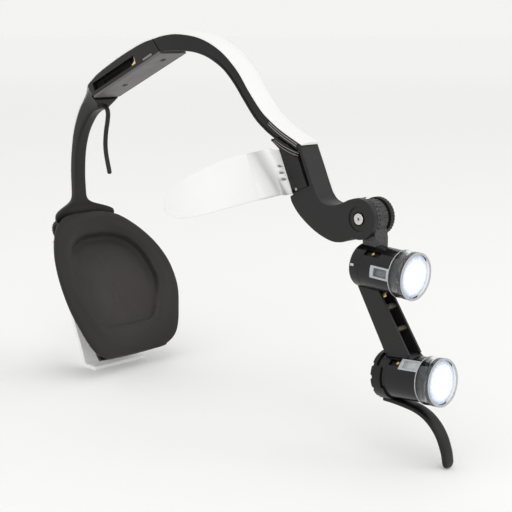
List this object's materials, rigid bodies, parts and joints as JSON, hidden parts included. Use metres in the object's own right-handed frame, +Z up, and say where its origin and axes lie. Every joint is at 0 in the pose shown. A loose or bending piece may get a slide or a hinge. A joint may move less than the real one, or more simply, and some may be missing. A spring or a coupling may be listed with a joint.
{
  "type": "head-worn dental light",
  "caption": "Head-worn dental light: curved white-backed headband with rear battery housing and nape pad, sliding front arm with forehead wings, tilting stacked lamps and a grip lever.",
  "frame": {"origin": "middle of the flat foot's sole, below the neck pad", "axes": "+Z up as it stands, lamps face -Y, X across the head with X = 0 its middle plane; the wearer's right is -X"},
  "size_m": [0.1396, 0.3374, 0.236],
  "materials": {
    "white_shell": "smooth white gloss",
    "band_black": "smooth black, satin to gloss",
    "soft_black": "fine matt grain",
    "cover_grey": "matt grey",
    "battery_black": "smooth black",
    "battery_wrap": "shrink-wrapped",
    "button_grey": "smooth light grey",
    "steel": "turned steel",
    "dark_steel": "blackened steel",
    "brass": "bright brass",
    "gold_contact": "gold-plated spring contact",
    "board": "solder-masked circuit board",
    "ribbon": "amber flexible ribbon",
    "cushion": "soft moulded foam with a matt skin",
    "lamp_black": "satin black anodised",
    "sink_alloy": "machined aluminium",
    "emitter": "white emitter board",
    "mirror_bowl": "polished reflector",
    "lens_clear": "clear lens",
    "ring_clear": "clear polished plastic",
    "wire_red": "insulated wire",
    "washer_black": "fibre washer"
  },
  "bodies": {
    "headband": {"band_shell": "white_shell", "rear_band": "band_black", "front_band": "band_black", "battery_housing": "band_black", "housing_cover": "cover_grey", "cover_screws": "dark_steel", "driver_board": "board", "battery_contacts": "gold_contact", "power_ribbon": "ribbon", "adjust_rack": "button_grey", "rear_hook": "soft_black", "neck_bracket": "soft_black"},
    "battery": {"battery_cell": "battery_wrap", "battery_cap": "battery_black"},
    "button": {"power_button": "button_grey"},
    "neck_rest": {"back_shell": "white_shell", "pad_base": "soft_black", "neck_pad": "cushion", "pad_screws": "steel", "pad_axle": "steel"},
    "rest_knob": {"pad_knob": "soft_black"},
    "slider": {"arm_slider": "soft_black", "detent_pawl": "steel", "guide_pin": "steel", "forehead_plate": "white_shell", "wing_right": "white_shell", "wing_left": "white_shell", "plate_screws": "steel"},
    "arm": {"arm_body": "soft_black", "arm_cover": "soft_black", "arm_screws": "steel", "hinge_screw": "steel", "friction_washer": "washer_black"},
    "hinge_knob": {"tension_knob": "soft_black"},
    "lamp_head": {"hinge_barrel": "lamp_black", "barrel_bush": "brass", "lamp_bar": "soft_black", "bar_wires": "wire_red", "upper_body": "lamp_black", "upper_rear_cap": "lamp_black", "upper_heat_sink": "sink_alloy", "upper_led": "emitter", "upper_reflector": "mirror_bowl", "upper_lens": "lens_clear", "lower_body": "lamp_black", "lower_rear_cap": "lamp_black", "lower_heat_sink": "sink_alloy", "lower_led": "emitter", "lower_reflector": "mirror_bowl", "lower_lens": "lens_clear", "focus_pins": "brass", "grip_lever": "soft_black"},
    "upper_focus": {"upper_ring": "ring_clear"},
    "lower_focus": {"lower_ring": "ring_clear"}
  },
  "joints": [
    {"name": "battery_slide", "type": "slide", "parent": "headband", "child": "battery", "axis": [-1, 0, 0], "range_m": [0, 0.018]},
    {"name": "button_press", "type": "slide", "parent": "headband", "child": "button", "axis": [1, 0, 0], "range_m": [0, 0.0006], "stiffness_N_per_m": 1500, "springref_m": -0.0002},
    {"name": "pad_tilt", "type": "hinge", "parent": "headband", "child": "neck_rest", "pos_m": [0, 0.038, 0.0955], "axis": [1, 0, 0], "range_deg": [-4, 8]},
    {"name": "rest_knob_turn", "type": "hinge", "parent": "neck_rest", "child": "rest_knob", "pos_m": [0, 0.038, 0.0955], "axis": [1, 0, 0], "range_deg": [0, 180]},
    {"name": "fit_slide", "type": "slide", "parent": "headband", "child": "slider", "axis": [0, -0.9124, -0.4094], "range_m": [0, 0.008]},
    {"name": "height_slide", "type": "slide", "parent": "slider", "child": "arm", "axis": [0, -0.4067, -0.9136], "range_m": [0, 0.01]},
    {"name": "head_tilt", "type": "hinge", "parent": "arm", "child": "lamp_head", "pos_m": [0, -0.229, 0.132], "axis": [1, 0, 0], "range_deg": [-50, 12]},
    {"name": "tension_turn", "type": "hinge", "parent": "arm", "child": "hinge_knob", "pos_m": [0, -0.229, 0.132], "axis": [1, 0, 0], "range_deg": [-90, 90]},
    {"name": "upper_focus_turn", "type": "hinge", "parent": "lamp_head", "child": "upper_focus", "pos_m": [0, -0.2647, 0.1033], "axis": [0, 0.9986, 0.0523], "range_deg": [0, 40]},
    {"name": "lower_focus_turn", "type": "hinge", "parent": "lamp_head", "child": "lower_focus", "pos_m": [0, -0.2848, 0.0476], "axis": [0, 0.9976, -0.0698], "range_deg": [-40, 0]}
  ]
}
